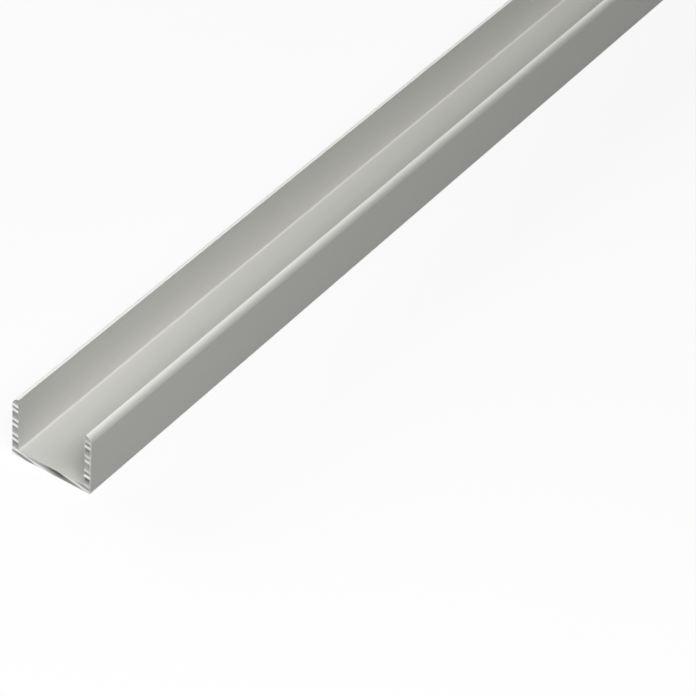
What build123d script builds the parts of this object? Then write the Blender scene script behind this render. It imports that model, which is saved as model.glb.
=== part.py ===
from build123d import *
import os
from math import sqrt

# A stock length of extruded aluminium U-channel, of the kind that edges a board.
# It lies on its web with the slot open upwards. X runs across the section, Y along the length
# and Z up. The origin is on the underside of the web, halfway along and halfway across.

# Driving dimensions, in millimetres.

length = 1000.0
outer_width = 20.0
outer_height = 15.0
wall_thickness = 1.5

# Each flange tip is rounded on its outer side only. The round is tangent to the outer face and
# takes a share of the wall's thickness. The rest of the tip is a narrow flat beside the slot.
tip_round_radius = 1.75
tip_round_share = 0.84

# Small radii that the die leaves on the other edges of the section.
tip_shoulder_radius = 0.2
mouth_edge_radius = 0.12
slot_corner_radius = 0.2
outer_corner_radius = 0.25

# Places on the section that follow from the sizes above.

half_width = outer_width / 2
half_slot = half_width - wall_thickness
tip_round_run = min(tip_round_radius, wall_thickness * tip_round_share)
tip_round_drop = sqrt(tip_round_radius**2 - (tip_round_radius - tip_round_run) ** 2)
tip_flat = wall_thickness - tip_round_run

outer_corner = (half_width, 0)
tip_round_foot = (half_width, outer_height - tip_round_drop)
tip_shoulder = (half_width - tip_round_run, outer_height)
mouth_edge = (half_slot, outer_height)
slot_corner = (half_slot, wall_thickness)


def right_half_outline():
    """The outline of the section's right half, from the middle of the underside to the slot's floor."""
    Polyline((0, 0), outer_corner, tip_round_foot)
    RadiusArc(tip_round_foot, tip_shoulder, -tip_round_radius)
    Polyline(tip_shoulder, mouth_edge, slot_corner, (0, wall_thickness))


def both_sides(section, corner):
    """The section's vertices at a corner of the right half and at its mirror image on the left."""
    across, up = corner
    return [section.vertices().sort_by_distance((side * across, up))[0] for side in (1, -1)]


def channel_section():
    """The U-shaped face, with its edges rounded. Its height is along the sketch's own Y."""
    with BuildSketch() as section:
        with BuildLine():
            right_half_outline()
            mirror(about=Plane.YZ)
        make_face()
        fillet(both_sides(section, outer_corner), outer_corner_radius)
        fillet(both_sides(section, tip_shoulder), min(tip_shoulder_radius, tip_flat))
        fillet(both_sides(section, mouth_edge), min(mouth_edge_radius, tip_flat * 3 / 4))
        fillet(both_sides(section, slot_corner), slot_corner_radius)
    return section.sketch


def u_channel():
    """The section stood upright and extruded half the length each way along Y."""
    return extrude(Plane.XZ * channel_section(), amount=length / 2, both=True)


os.makedirs("parts", exist_ok=True)
export_step(u_channel(), "parts/u_channel.step")
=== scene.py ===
import math

import bpy
import numpy as np
from mathutils import Matrix, Vector
from mathutils.geometry import delaunay_2d_cdt


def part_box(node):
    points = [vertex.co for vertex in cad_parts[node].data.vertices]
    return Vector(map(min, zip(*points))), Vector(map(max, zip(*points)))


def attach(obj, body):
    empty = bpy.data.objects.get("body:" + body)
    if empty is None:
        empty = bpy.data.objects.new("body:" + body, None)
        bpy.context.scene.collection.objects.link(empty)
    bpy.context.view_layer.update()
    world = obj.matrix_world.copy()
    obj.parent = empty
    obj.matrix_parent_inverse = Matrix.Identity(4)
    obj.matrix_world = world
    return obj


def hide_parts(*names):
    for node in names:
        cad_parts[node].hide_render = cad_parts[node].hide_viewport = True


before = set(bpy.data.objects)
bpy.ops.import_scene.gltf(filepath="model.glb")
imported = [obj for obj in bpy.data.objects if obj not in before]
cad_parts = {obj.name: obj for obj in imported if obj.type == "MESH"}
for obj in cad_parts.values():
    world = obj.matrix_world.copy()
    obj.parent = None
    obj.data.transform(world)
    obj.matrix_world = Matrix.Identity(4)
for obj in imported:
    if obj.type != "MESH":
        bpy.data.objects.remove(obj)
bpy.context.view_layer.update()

# A sawn length of silver-anodised aluminium U-channel. Sizes are in metres: X runs across the
# section, Y along the length and Z up from the underside of the web.

MM = 0.001
TURN = 2 * math.pi
CHANNEL = "u_channel"
PIECE = "u_channel_stock"
CHANNEL_LOW, CHANNEL_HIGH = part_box(CHANNEL)
NEAR_CUT = CHANNEL_LOW.y
FAR_CUT = CHANNEL_HIGH.y
MIDWAY = (NEAR_CUT + FAR_CUT) / 2
LENGTH = FAR_CUT - NEAR_CUT
WIDTH = CHANNEL_HIGH.x - CHANNEL_LOW.x
HALF_WIDTH = WIDTH / 2
HEIGHT = CHANNEL_HIGH.z

# The camera, placed from the middle of the near cut's bottom edge.
IMAGE_WIDTH = 696
FOCAL_PIXELS = 3194.6
SENSOR_WIDTH = 36.0
CAMERA_PLACE = Vector((296.01 * MM, NEAR_CUT - 383.60 * MM, 435.21 * MM))
CAMERA_AZIMUTH = math.radians(30.801)
CAMERA_ELEVATION = math.radians(39.404)
CAMERA_ROLL = math.radians(5.136)

# Each cut's marks come from a random draw of its own.
NEAR_SEED = 11
FAR_SEED = 23
# An uneven line is a sum of waves, whose lengths are between these shares of its run.
WAVES = 6
WAVE_SPREAD = (0.6, 1.8)

# The saw crossed the section at a slant. Each feed of its blade left two proud strokes, which bite
# less towards the side where the blade left. It paused once, where the strokes are heaviest.
# Heights are those of a stroke at mid-width. A stroke's top is flat where its bell passes 1.
SAW_SLANT = math.tan(math.radians(11.51))
SAW_FEED = 3.89 * MM
FIRST_FEED = -2
SAW_STROKES = (2.28 * MM, 3.67 * MM)
# A stroke's force sets how proud it stands, and also how much painted highlight lightens it.
STROKE_FORCES = (0.87, 0.70)
BITE_EASING = 0.25
SAW_PAUSE = 6.13 * MM
PAUSE_REACH = 0.9 * MM
PAUSE_FORCE = 1.15
STROKE_ABOVE = 0.31 * MM
STROKE_BELOW = 0.27 * MM
STROKE_BELL = 1.5
STROKE_HEIGHT = 0.11 * MM
STRIATION_STEP = 0.25 * MM
STRIATION_HEIGHT = 0.012 * MM
# The striations' shine is a painted highlight added to that of the strokes.
STRIATION_PAINTED_SHINE = 0.08
CUT_DEPTH = 0.17 * MM
# Between a feed's two strokes, and below its first one, the cut sinks a little and its colour is
# darkened as painted shade. Both are strongest in the web below the first feed, and below the second
# in the flange where the blade left. By feed, each is a place across the section and a reach to either
# side.
HOLLOW_REACH = 0.38 * MM
TEAR_BELOW = 0.74 * MM
TEAR_REACH = 0.47 * MM
TEAR_TAIL = 0.75 * MM
TEAR_DEPTH = 0.05 * MM
TEAR_WORST = 0.8
WORST_TEARS = {0: (1.4 * MM, 3.3 * MM), 1: (9.9 * MM, 1.8 * MM)}
# What wanders along a stroke or along the rim: a usual value, how far it strays, and over what run.
STROKE_LINE = (0.0, 0.055 * MM, 5.6 * MM)
FORCE_CHANGE = (0.0, 0.14, 6.7 * MM)
TEAR_STRENGTH = (0.3, 0.25, 7.8 * MM)
HOLLOW_STRENGTH = (0.5, 0.2, 4.5 * MM)
STRIATION_STRENGTH = (0.7, 0.3, 3.4 * MM)
BURR_TEETH = (0.55, 0.45, 1.2 * MM)
# Where the blade left the section the strokes fade into an even smear, which keeps a little of their
# painted highlight, and the edge is rolled over.
# A burr stands into the slot at the ends of the heavy strokes, and fades along the length. It keeps
# clear of the outer faces, the underside and the tips.
EXIT_RUN = 0.45 * MM
EXIT_ROLL = 0.13 * MM
EXIT_SMEAR = 0.25
BURR_LENGTH = 0.25 * MM
BURR_FADE = 0.33 * MM
BURR_SIDE_GAP = 1.0 * MM
BURR_END_GAP = 0.5 * MM

# Spacing of mesh points: round the section, over a cut, and along the length. The first ring lies
# deeper than the saw's deepest mark.
RIM_STEP = 0.13 * MM
STRAIGHT_RUN = 0.5 * MM
CUT_STEP = 0.09 * MM
RIM_CLEARANCE = 0.6 * CUT_STEP
CUT_RINGS = (0.4 * MM, 0.55 * MM, 0.8 * MM, 1.5 * MM, 4.0 * MM)
LENGTH_STEP = 50 * MM
# Points that agree to these limits are one point. A cut is filled only inside its rim.
SAME_PLACE = 0.001 * MM
SAME_DIGITS = 7
SAME_POINT_MM = 1e-6
INSIDE_FACES = 1

# The unwrapped map: the sides fill a band along its foot, and the cuts stand side by side above it.
MAP_MARGIN = 0.005
SIDE_MAP_HEIGHT = 0.56
CUT_MAP_WIDTH = 0.48
CUT_MAP_FOOT = 0.59
NEAR_MAP_MIDDLE = 0.25
FAR_MAP_MIDDLE = 0.75

# How much less the slot's corners are burnished than the tips, and how far a corner bends over five
# points of the rim where it is burnished in full. The burnish also lightens the colour as a painted
# highlight. On a tip's round the burnish ends where the round faces up by no more than a share, and
# falls off to there by a power, so the painted highlight is brightest where the tip faces up.
SLOT_BURNISH_AND_HIGHLIGHT = 0.65
CORNER_BEND = math.radians(60)
CORNER_SHIFTS = (-2, -1, 0, 1, 2)
TIP_FADE = 0.5
TIP_FALL = 1.5

# The anodised skin. Colours are linear, and a grain is a size along X, Y and Z. A tone is how much a
# pattern lightens the colour, and a rough how much it adds to the roughness.
ANODISED = (0.700, 0.701, 0.665)
ANODISED_METALLIC = 0.02
ANODISED_SPECULAR = 0.2
ANODISED_ROUGH = 0.48
DIE_LINE_GRAIN = (0.5 * MM, 300 * MM, 0.5 * MM)
DIE_LINE_DETAIL = 4.0
DIE_LINE_TONE = 0.05
DIE_LINE_ROUGH = 0.06
ETCH_GRAIN = (0.14 * MM, 1.2 * MM, 0.14 * MM)
ETCH_TONE = 0.03
ETCH_SHARE = 0.5
CLOUD_GRAIN = (12 * MM, 45 * MM, 12 * MM)
CLOUD_TONE = 0.06
CLOUD_ROUGH = 0.06
# The burnish's tone is a painted highlight on the tips and the slot's corners.
BURNISH_PAINTED_HIGHLIGHT_TONE = 0.36
BURNISH_METALLIC = 0.3
BURNISH_ROUGH = -0.1
SKIN_RELIEF = 0.006 * MM

# The sawn metal. Its lightest colour is a painted highlight on the proud strokes, and its darkest is
# painted shade in the hollows below and between them.
SAWN_PAINTED_HIGHLIGHT = (0.97, 0.97, 0.96)
SAWN_PLAIN = (0.43, 0.43, 0.415)
SAWN_PAINTED_SHADE = (0.12, 0.12, 0.114)
SAWN_METALLIC = 0.8
SAWN_ROUGH = 0.42
CREST_ROUGH = -0.1
TORN_ROUGH = 0.2
SAWN_GRAIN = (0.10 * MM, 0.10 * MM, 0.05 * MM)
SAWN_GRAIN_TONE = 0.3
SAWN_GRAIN_ROUGH = 0.1
SAWN_RELIEF = 0.008 * MM

# The floor lies a hair below the channel's underside, so that the two don't share a plane.
FLOOR_HALF = 40.0
FLOOR_DROP = 0.02 * MM
FLOOR_GREY = (0.16, 0.16, 0.16)
FLOOR_GLOW = 0.85
WHITE = (1.0, 1.0, 1.0)

# The numbers of the sockets of a Mix node that mixes colours.
MIX_SHARE = 0
MIX_FIRST = 6
MIX_SECOND = 7
MIX_RESULT = 2


class Signal:
    """A number that varies over a surface. Arithmetic on it adds Math nodes to its finish."""

    def __init__(self, finish, socket):
        self.finish = finish
        self.socket = socket

    def maths(self, operation, first, second):
        made = self.finish.node("ShaderNodeMath", {"operation": operation}, {0: first, 1: second})
        return Signal(self.finish, made.outputs[0])

    def __add__(self, other):
        return self.maths("ADD", self, other)

    def __radd__(self, other):
        return self.maths("ADD", other, self)

    def __sub__(self, other):
        return self.maths("SUBTRACT", self, other)

    def __rsub__(self, other):
        return self.maths("SUBTRACT", other, self)

    def __mul__(self, other):
        return self.maths("MULTIPLY", self, other)

    def __rmul__(self, other):
        return self.maths("MULTIPLY", other, self)


class Finish:
    """The nodes of a material, or of the room, and the one way to add a node to them."""

    def __init__(self, owner):
        self.owner = owner
        owner.use_nodes = True
        self.tree = owner.node_tree
        self.tree.nodes.clear()

    def node(self, kind, settings=None, sockets=None):
        """A node of this kind. Its settings are set first, then the values or links of its sockets."""
        made = self.tree.nodes.new(kind)
        for name, value in (settings or {}).items():
            setattr(made, name, value)
        for socket, value in (sockets or {}).items():
            if isinstance(value, Signal):
                value = value.socket
            if isinstance(value, bpy.types.NodeSocket):
                self.tree.links.new(value, made.inputs[socket])
            else:
                made.inputs[socket].default_value = value
        return made

    def noise(self, grain_size, detail=2.0):
        """Noise between about -0.5 and 0.5, with grains of this size along X, Y and Z."""
        place = self.node("ShaderNodeTexCoord").outputs["Object"]
        grains = tuple(1 / size for size in grain_size)
        scaled = self.node("ShaderNodeVectorMath", {"operation": "MULTIPLY"}, {0: place, 1: grains})
        made = self.node("ShaderNodeTexNoise", None,
                         {"Vector": scaled.outputs[0], "Scale": 1.0, "Detail": detail})
        return Signal(self, made.outputs[0]) - 0.5

    def marked(self, attribute):
        """A number that the mesh holds at each point."""
        made = self.node("ShaderNodeAttribute", {"attribute_name": attribute})
        return Signal(self, made.outputs["Fac"])

    def mixed(self, share, first, second):
        """A colour between the first, at a share of 0, and the second, at 1."""
        made = self.node("ShaderNodeMix", {"data_type": "RGBA"},
                         {MIX_SHARE: share, MIX_FIRST: first, MIX_SECOND: second})
        return made.outputs[MIX_RESULT]

    def toned(self, colour, tone):
        """A colour made lighter or darker by a number that varies about 1."""
        made = self.node("ShaderNodeVectorMath", {"operation": "SCALE"}, {0: colour, "Scale": tone})
        return made.outputs[0]

    def bumped(self, height, distance):
        """The surface's direction, tilted as if it stood this much higher or lower."""
        made = self.node("ShaderNodeBump", None, {"Height": height, "Distance": distance})
        return made.outputs[0]

    def where_seen(self, unseen, seen):
        """One shader for rays that only carry light, and another for those that show a picture of it."""
        rays = self.node("ShaderNodeLightPath")
        shows = Signal(self, rays.outputs["Is Camera Ray"]) + Signal(self, rays.outputs["Is Glossy Ray"])
        shows = shows + Signal(self, rays.outputs["Is Transmission Ray"])
        return self.node("ShaderNodeMixShader", None, {0: shows, 1: unseen.outputs[0], 2: seen.outputs[0]})

    def shown(self, shader, output="ShaderNodeOutputMaterial"):
        """The material or the room, with this shader on its surface."""
        self.node(output, None, {"Surface": shader.outputs[0]})
        return self.owner


def opaque(colour):
    return (*colour, 1.0)


def anodised_finish():
    """Satin silver anodising, over the fine lines that the die draws along the length, with a painted
    highlight on the burnished tips and slot corners.
    """
    finish = Finish(bpy.data.materials.new("satin_silver_anodising"))
    die_lines = finish.noise(DIE_LINE_GRAIN, DIE_LINE_DETAIL)
    etch = finish.noise(ETCH_GRAIN)
    clouds = finish.noise(CLOUD_GRAIN)
    burnish_and_highlight = finish.marked("burnish_and_highlight")
    # The burnish lightens the colour as a painted highlight, and also makes the skin glossier and more
    # metallic.
    tone = 1 + die_lines * DIE_LINE_TONE + clouds * CLOUD_TONE + etch * ETCH_TONE + burnish_and_highlight * BURNISH_PAINTED_HIGHLIGHT_TONE
    rough = ANODISED_ROUGH + die_lines * DIE_LINE_ROUGH + clouds * CLOUD_ROUGH + burnish_and_highlight * BURNISH_ROUGH
    shader = finish.node("ShaderNodeBsdfPrincipled", None, {
        "Base Color": finish.toned(ANODISED, tone),
        "Metallic": ANODISED_METALLIC + burnish_and_highlight * BURNISH_METALLIC,
        "Specular IOR Level": ANODISED_SPECULAR,
        "Roughness": rough,
        "Normal": finish.bumped(die_lines + etch * ETCH_SHARE, SKIN_RELIEF),
    })
    return finish.shown(shader)


def sawn_finish():
    """Bare sawn metal, lightened on its proud strokes by a painted highlight and darkened below and
    between them by painted shade.
    """
    finish = Finish(bpy.data.materials.new("bare_sawn_aluminium"))
    crest = finish.marked("saw_crest_and_highlight")
    tear_and_shade = finish.marked("saw_tear_and_shade")
    grain = finish.noise(SAWN_GRAIN)
    # The hollows are darkened as painted shade, and the strokes lightened as a painted highlight.
    ground = finish.mixed(tear_and_shade, opaque(SAWN_PLAIN), opaque(SAWN_PAINTED_SHADE))
    worked = finish.mixed(crest, ground, opaque(SAWN_PAINTED_HIGHLIGHT))
    shader = finish.node("ShaderNodeBsdfPrincipled", None, {
        "Base Color": finish.toned(worked, 1 + grain * SAWN_GRAIN_TONE),
        "Metallic": SAWN_METALLIC,
        "Roughness": SAWN_ROUGH + crest * CREST_ROUGH + tear_and_shade * TORN_ROUGH + grain * SAWN_GRAIN_ROUGH,
        "Normal": finish.bumped(grain, SAWN_RELIEF),
    })
    return finish.shown(shader)


def floor_finish():
    """A pale floor that shows white and keeps the channel's shadow."""
    finish = Finish(bpy.data.materials.new("pale_floor"))
    matt = finish.node("ShaderNodeBsdfDiffuse", None, {"Color": opaque(FLOOR_GREY)})
    glow = finish.node("ShaderNodeEmission", None, {"Strength": FLOOR_GLOW})
    white = finish.node("ShaderNodeAddShader", None, {0: matt.outputs[0], 1: glow.outputs[0]})
    return finish.shown(finish.where_seen(matt, white))


def white_room():
    """A room that shows white, lights nothing by itself, and leaves the lighting to the softboxes."""
    room = Finish(bpy.data.worlds.new("white_room"))
    dark = room.node("ShaderNodeBackground", None, {"Strength": 0.0})
    white = room.node("ShaderNodeBackground", None, {"Color": opaque(WHITE), "Strength": 1.0})
    return room.shown(room.where_seen(dark, white), "ShaderNodeOutputWorld")


def section_outline(node):
    """The section's outline as (x, z) points in order, anticlockwise, read off the node's near end."""
    sides = set()
    for face in node.data.polygons:
        corners = [node.data.vertices[number].co for number in face.vertices]
        if all(abs(corner.y - NEAR_CUT) < SAME_PLACE for corner in corners):
            spots = [(round(corner.x, SAME_DIGITS), round(corner.z, SAME_DIGITS)) for corner in corners]
            for side in zip(spots, spots[1:] + spots[:1]):
                if side[::-1] in sides:
                    sides.remove(side[::-1])
                else:
                    sides.add(side)
    following = dict(sides)
    outline = [min(following)]
    while following[outline[-1]] != outline[0]:
        outline.append(following[outline[-1]])
    return np.array(outline)


def rim_tangents(outline):
    """The unit direction along the outline at each of its points: on a straight run, that run's own."""
    run = np.roll(outline, -1, axis=0) - outline
    length = np.linalg.norm(run, axis=1, keepdims=True)
    ahead = run / length
    behind = np.roll(ahead, 1, axis=0)
    tangent = np.where(length > STRAIGHT_RUN, ahead, ahead + behind)
    tangent = np.where(np.roll(length, 1, axis=0) > STRAIGHT_RUN, behind, tangent)
    return tangent / np.linalg.norm(tangent, axis=1, keepdims=True)


def spaced_rim(outline):
    """The outline with points added along it, at most the rim's step apart, and rounded as it is."""
    points = []
    tangents = rim_tangents(outline)
    for number, start in enumerate(outline):
        following = (number + 1) % len(outline)
        stop = outline[following]
        span = math.dist(start, stop)
        count = math.ceil(span / RIM_STEP)
        share = np.arange(count)[:, None] / count
        between = start + (stop - start) * share
        if span < STRAIGHT_RUN:
            leaving = span * tangents[number] - (stop - start)
            arriving = (stop - start) - span * tangents[following]
            between = between + share * (1 - share) * ((1 - share) * leaving + share * arriving)
        points.append(between)
    return np.concatenate(points)


def outward(rim):
    """The direction out of the metal at each point of the rim."""
    along = np.roll(rim, -1, axis=0) - np.roll(rim, 1, axis=0)
    out = np.stack([along[:, 1], -along[:, 0]], axis=1)
    return out / np.linalg.norm(out, axis=1, keepdims=True)


def rim_burnish_and_highlight(rim):
    """How much each point of the rim is burnished and lightened by a painted highlight. The tips are, on
    top, and it fades down their outer rounds as these turn from facing up. The slot's corners get both
    too, though less.
    """
    along = np.roll(rim, -1, axis=0) - rim
    heading = np.arctan2(along[:, 1], along[:, 0])
    bend = (heading - np.roll(heading, 1) + math.pi) % TURN - math.pi
    spread = sum(np.roll(bend, shift) for shift in CORNER_SHIFTS)
    corner = np.sqrt(np.clip(-spread / CORNER_BEND, 0, 1))
    upward = np.clip((outward(rim)[:, 1] - TIP_FADE) / (1 - TIP_FADE), 0, 1)
    tip = np.where(rim[:, 1] > HEIGHT / 2, upward ** TIP_FALL, 0)
    return np.maximum(tip, SLOT_BURNISH_AND_HIGHLIGHT * corner)


def cut_points(rim):
    """Points over the cut, in rows, clear of the rim."""
    row_step = CUT_STEP * math.sqrt(3) / 2
    low = rim.min(axis=0)
    high = rim.max(axis=0)
    spots = []
    for row, up in enumerate(np.arange(low[1], high[1], row_step)):
        start = low[0] + CUT_STEP / 2 * (row % 2)
        spots += [(across, up) for across in np.arange(start, high[0], CUT_STEP)]
    spots = np.array(spots)
    inside = np.zeros(len(spots), dtype=bool)
    nearest = np.full(len(spots), np.inf)
    for start, stop in zip(rim, np.roll(rim, -1, axis=0)):
        run = stop - start
        share = np.clip((spots - start) @ run / (run @ run), 0, 1)
        nearest = np.minimum(nearest, np.linalg.norm(spots - start - share[:, None] * run, axis=1))
        crosses = (start[1] > spots[:, 1]) != (stop[1] > spots[:, 1])
        if start[1] != stop[1]:
            inside ^= crosses & (spots[:, 0] < start[0] + (spots[:, 1] - start[1]) * run[0] / run[1])
    return spots[inside & (nearest > RIM_CLEARANCE)]


def cut_triangles(rim):
    """Points and triangles that fill the cut. The rim's own points come first."""
    spots = np.concatenate([rim, cut_points(rim)])
    in_mm = [Vector(spot / MM) for spot in spots]
    filled = delaunay_2d_cdt(in_mm, [], [list(range(len(rim)))], INSIDE_FACES, SAME_POINT_MM)
    source = np.array([origins[0] for origins in filled[3]])
    return spots, source[np.array(filled[2])]


def uneven(draw, place, run):
    """A smooth random height between about -1 and 1, along a place, with waves of about this run."""
    waves = 0
    for _ in range(WAVES):
        wavelength = run * draw.uniform(*WAVE_SPREAD)
        waves = waves + np.cos(TURN * (place / wavelength + draw.uniform()))
    return waves / (WAVES / 2)


def wandering(draw, place, usual, stray, run):
    """A value that strays from its usual one along a place."""
    return usual + stray * uneven(draw, place, run)


def bell(distance, reach):
    """1 at no distance, and falling off smoothly over a reach."""
    return np.exp(-(distance / reach) ** 2)


def saw_stroke(draw, across, height, centre, usual):
    """How proud one stroke of the saw stands at each spot, which also sets its painted highlight."""
    above = height - centre - wandering(draw, across, *STROKE_LINE)
    reach = np.where(above > 0, STROKE_ABOVE, STROKE_BELOW)
    bite = usual * (1 - BITE_EASING * across / HALF_WIDTH)
    heavy = bell(centre - SAW_PAUSE, PAUSE_REACH)
    force = bite + (PAUSE_FORCE - bite) * heavy + wandering(draw, across, *FORCE_CHANGE)
    return force * np.minimum(1, STROKE_BELL * bell(above, reach))


def saw_tear_and_shade(draw, across, height, centres, feed):
    """How much each spot is sunk and darkened by painted shade, below a feed's first stroke and between
    its two strokes.
    """
    tear = wandering(draw, across, *TEAR_STRENGTH)
    if feed in WORST_TEARS:
        place, reach = WORST_TEARS[feed]
        tear = tear + TEAR_WORST * bell(across - place, reach)
    above = height - centres[0] + TEAR_BELOW
    tear = tear * bell(above, np.where(above > 0, TEAR_REACH, TEAR_TAIL))
    hollow = wandering(draw, across, *HOLLOW_STRENGTH)
    return np.maximum(tear, hollow * bell(height - sum(centres) / 2, HOLLOW_REACH))


def saw_marks(spots, seed):
    """The cut's depth at each spot, how much a painted highlight lightens its crests, and how much painted
    shade darkens its hollows.
    """
    draw = np.random.default_rng(seed)
    across = spots[:, 0]
    height = spots[:, 1] + SAW_SLANT * across
    crest = np.zeros(len(spots))
    tear_and_shade = np.zeros(len(spots))
    for feed in range(FIRST_FEED, math.ceil(2 * HEIGHT / SAW_FEED)):
        centres = [stroke + feed * SAW_FEED for stroke in SAW_STROKES]
        for centre, usual in zip(centres, STROKE_FORCES):
            crest = np.maximum(crest, saw_stroke(draw, across, height, centre, usual))
        tear_and_shade = np.maximum(tear_and_shade, saw_tear_and_shade(draw, across, height, centres, feed))
    striation = uneven(draw, height, STRIATION_STEP) * wandering(draw, across, *STRIATION_STRENGTH)
    kept = np.clip((HALF_WIDTH - across) / EXIT_RUN, 0, 1)
    crest = np.clip(crest * kept + EXIT_SMEAR * (1 - kept), 0, 1)
    tear_and_shade = np.clip(tear_and_shade * kept, 0, 1)
    depth = CUT_DEPTH - STROKE_HEIGHT * crest + STRIATION_HEIGHT * striation + TEAR_DEPTH * tear_and_shade
    depth = np.clip(depth + EXIT_ROLL * (1 - kept) ** 2, 0, None)
    # The striations' shine adds to the crests' painted highlight.
    return depth, np.clip(crest + STRIATION_PAINTED_SHINE * striation, 0, 1), tear_and_shade


def saw_burr(rim, crest, seed):
    """How far the saw pushed each point of the rim out into the slot."""
    across = np.abs(rim[:, 0])
    up = rim[:, 1]
    in_slot = (across < HALF_WIDTH - BURR_SIDE_GAP) & (up > BURR_END_GAP) & (up < HEIGHT - BURR_END_GAP)
    along_rim = np.arange(len(rim)) * RIM_STEP
    ragged = wandering(np.random.default_rng(seed), along_rim, *BURR_TEETH)
    return np.where(in_slot, BURR_LENGTH * np.clip(crest * ragged, 0, 1), 0)


class SawCut:
    """One sawn end, with the saw's marks at each spot of it. Inward is the way into the metal along Y.
    At the far end the saw sees the section mirrored.
    """

    def __init__(self, place, inward, spots, rim, seed):
        self.place = place
        self.inward = inward
        self.depth, self.crest, self.tear_and_shade = saw_marks(spots * (inward, 1), seed)
        self.burr = saw_burr(rim, self.crest[:len(rim)], seed)


def channel_rings():
    """Places along the length that get a ring of points, close together near both cuts."""
    near = [NEAR_CUT + ring for ring in CUT_RINGS]
    far = [FAR_CUT - ring for ring in reversed(CUT_RINGS)]
    spans = math.ceil((far[0] - near[-1]) / LENGTH_STEP)
    middle = np.linspace(near[-1], far[0], spans + 1)[1:-1]
    return [NEAR_CUT, *near, *middle, *far, FAR_CUT]


def in_space(section_points, place):
    """Points of the section stood upright, at a place along the length."""
    along = np.broadcast_to(place, len(section_points))
    return np.stack([section_points[:, 0], along, section_points[:, 1]], axis=1)


def channel_points(rim, spots, rings, near, far):
    """The channel's points, ring after ring, then those inside each cut, with the marks at each of them:
    the saw's crests and tears, with their painted highlight and painted shade, and the burnish, with its
    painted highlight.
    """
    count = len(rim)
    out = outward(rim)
    burnish_and_highlight = rim_burnish_and_highlight(rim)
    blocks = []
    for place in rings:
        cut = near if place < MIDWAY else far
        at_cut = place == cut.place
        burr = cut.burr * math.exp(-abs(place - cut.place) / BURR_FADE)
        sunk = place + cut.inward * cut.depth[:count] * at_cut
        ring = in_space(rim + out * burr[:, None], sunk)
        blocks.append((ring, cut.crest[:count] * at_cut, cut.tear_and_shade[:count] * at_cut, burnish_and_highlight))
    for cut in (near, far):
        inner = in_space(spots[count:], cut.place + cut.inward * cut.depth[count:])
        blocks.append((inner, cut.crest[count:], cut.tear_and_shade[count:], np.zeros(len(inner))))
    return [np.concatenate(kind) for kind in zip(*blocks)]


def side_faces(ring_count, rim_count):
    """Four-cornered faces between each ring of points and the next."""
    start = np.arange(rim_count)
    stop = np.roll(start, -1)
    first = np.stack([stop, start, rim_count + start, rim_count + stop], axis=1)
    return np.concatenate([first + number * rim_count for number in range(ring_count - 1)])


def side_map(rings, rim):
    """The side faces' corners on the unwrapped map: the length runs along it, and the way round up it."""
    travelled = np.cumsum(np.linalg.norm(np.roll(rim, -1, axis=0) - rim, axis=1))
    around = MAP_MARGIN + SIDE_MAP_HEIGHT * np.array([0, *travelled]) / travelled[-1]
    along = MAP_MARGIN + (1 - 2 * MAP_MARGIN) * (np.array(rings) - NEAR_CUT) / LENGTH
    corners = []
    for ahead, beyond in zip(along, along[1:]):
        for low, high in zip(around, around[1:]):
            corners += [(ahead, high), (ahead, low), (beyond, low), (beyond, high)]
    return np.array(corners)


def cut_map(corners, middle):
    """The corners of a cut's triangles on the unwrapped map, above the sides."""
    return np.array((middle, CUT_MAP_FOOT)) + CUT_MAP_WIDTH / WIDTH * corners.reshape(-1, 2)


def sharpen_rims(mesh):
    """Marks the edges between the sides and the cuts as sharp."""
    finishes = {}
    for face in mesh.polygons:
        for key in face.edge_keys:
            finishes.setdefault(key, set()).add(face.material_index)
    sharp = mesh.attributes.new("sharp_edge", "BOOLEAN", "EDGE")
    sharp.data.foreach_set("value", [len(finishes[edge.key]) > 1 for edge in mesh.edges])


def in_scene(name, data):
    """A new object of this name, linked into the scene."""
    made = bpy.data.objects.new(name, data)
    bpy.context.collection.objects.link(made)
    return made


def channel_piece(node):
    """The whole channel as one closed mesh: its drawn sides, and both cuts as the saw left them."""
    rim = spaced_rim(section_outline(node))
    spots, triangles = cut_triangles(rim)
    rings = channel_rings()
    near = SawCut(NEAR_CUT, 1, spots, rim, NEAR_SEED)
    far = SawCut(FAR_CUT, -1, spots, rim, FAR_SEED)
    points, crest, tear_and_shade, burnish_and_highlight = channel_points(rim, spots, rings, near, far)

    count = len(rim)
    far_rim = count * (len(rings) - 1)
    near_inner = count * len(rings)
    far_inner = near_inner + len(spots) - count
    faces = [side_faces(len(rings), count)]
    maps = [side_map(rings, rim)]
    cuts = ((near, 0, near_inner, NEAR_MAP_MIDDLE), (far, far_rim, far_inner, FAR_MAP_MIDDLE))
    for cut, first_rim, first_inner, middle in cuts:
        # The far cut faces the other way, so its corners go round in reverse.
        corners = triangles[:, ::cut.inward]
        faces.append(np.where(corners < count, first_rim + corners, first_inner + corners - count))
        maps.append(cut_map(spots[corners], middle))

    mesh = bpy.data.meshes.new(PIECE)
    mesh.from_pydata(points.tolist(), [], [face for block in faces for face in block.tolist()])
    # The sides get the first finish, and both cuts the second.
    mesh.materials.append(anodised_finish())
    mesh.materials.append(sawn_finish())
    mesh.polygons.foreach_set("material_index", np.repeat((0, 1, 1), [len(block) for block in faces]))
    # These carry the strokes' painted highlight, the hollows' painted shade, and the burnish with its
    # painted highlight.
    for name, values in (("saw_crest_and_highlight", crest), ("saw_tear_and_shade", tear_and_shade), ("burnish_and_highlight", burnish_and_highlight)):
        mesh.attributes.new(name, "FLOAT", "POINT").data.foreach_set("value", values)
    mesh.uv_layers.new(name="OFBake").data.foreach_set("uv", np.concatenate(maps).ravel())
    mesh.shade_smooth()
    sharpen_rims(mesh)
    mesh.update()
    return in_scene(PIECE, mesh)


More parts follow.
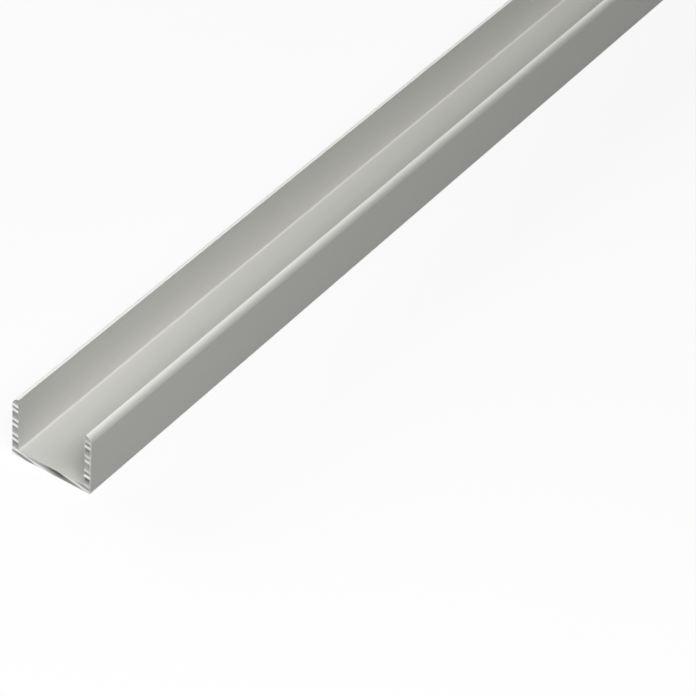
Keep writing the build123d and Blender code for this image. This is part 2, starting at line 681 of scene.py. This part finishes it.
def floor_piece():
    """A level square that reaches past all that the camera sees."""
    signs = ((-1, -1), (1, -1), (1, 1), (-1, 1))
    corners = [(across * FLOOR_HALF, along * FLOOR_HALF, -FLOOR_DROP) for across, along in signs]
    mesh = bpy.data.meshes.new("floor")
    mesh.from_pydata(corners, [], [(0, 1, 2, 3)])
    mesh.materials.append(floor_finish())
    return in_scene("floor", mesh)


def softbox(name, place, target, size, watts, spread=180):
    """A soft lamp, turned towards a target. A grid on its front narrows its spread, in degrees."""
    lamp = bpy.data.lights.new(name, "AREA")
    lamp.shape = "RECTANGLE"
    lamp.size, lamp.size_y = size
    lamp.energy = watts
    lamp.spread = math.radians(spread)
    holder = in_scene(name, lamp)
    holder.location = place
    holder.rotation_mode = "QUATERNION"
    holder.rotation_quaternion = (Vector(target) - Vector(place)).to_track_quat("-Z", "Y")
    holder.visible_camera = False


def studio_light():
    """Soft lamps round the near end: a long one low on the left, and high ones in front and on the
    right. Two with grids hang over the far part.
    """
    bpy.context.scene.world = white_room()
    near_end = (0.0, NEAR_CUT + 0.03, 0.0)
    near_part = (0.0, NEAR_CUT + 0.1, 0.0)
    far_part = (0.0, FAR_CUT - 0.22, 0.0)
    softbox("left_softbox", place=(-0.78, NEAR_CUT + 0.1, 0.33), target=near_part,
            size=(0.7, 0.33), watts=3.4)
    softbox("front_softbox", place=(0.11, NEAR_CUT - 0.31, 0.52), target=near_end,
            size=(0.67, 0.33), watts=1.8)
    softbox("right_softbox", place=(0.36, NEAR_CUT - 0.2, 0.5), target=near_end,
            size=(0.5, 0.33), watts=2.13)
    for name, across in (("far_left_softbox", -0.42), ("far_right_softbox", 0.42)):
        softbox(name, place=(across, FAR_CUT - 0.22, 0.62), target=far_part,
                size=(0.3, 0.33), watts=0.45, spread=70)


def camera():
    """The scene's camera, turned to its azimuth, tilted down and rolled."""
    turn = CAMERA_AZIMUTH
    tilt = CAMERA_ELEVATION
    ahead = Vector((-math.sin(turn) * math.cos(tilt), math.cos(turn) * math.cos(tilt), -math.sin(tilt)))
    level_right = Vector((math.cos(turn), math.sin(turn), 0))
    right = math.cos(CAMERA_ROLL) * level_right + math.sin(CAMERA_ROLL) * level_right.cross(ahead)
    up = right.cross(ahead)
    lens = bpy.data.cameras.new("camera")
    lens.sensor_width = SENSOR_WIDTH
    lens.lens = FOCAL_PIXELS * SENSOR_WIDTH / IMAGE_WIDTH
    holder = in_scene("camera", lens)
    facing = Matrix((right, up, -ahead)).transposed().to_4x4()
    holder.matrix_world = Matrix.Translation(CAMERA_PLACE) @ facing
    bpy.context.scene.camera = holder


bpy.context.scene.view_settings.view_transform = "Standard"
camera()
studio_light()
floor_piece()
channel = channel_piece(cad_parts[CHANNEL])
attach(channel, "root")
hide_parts(CHANNEL)
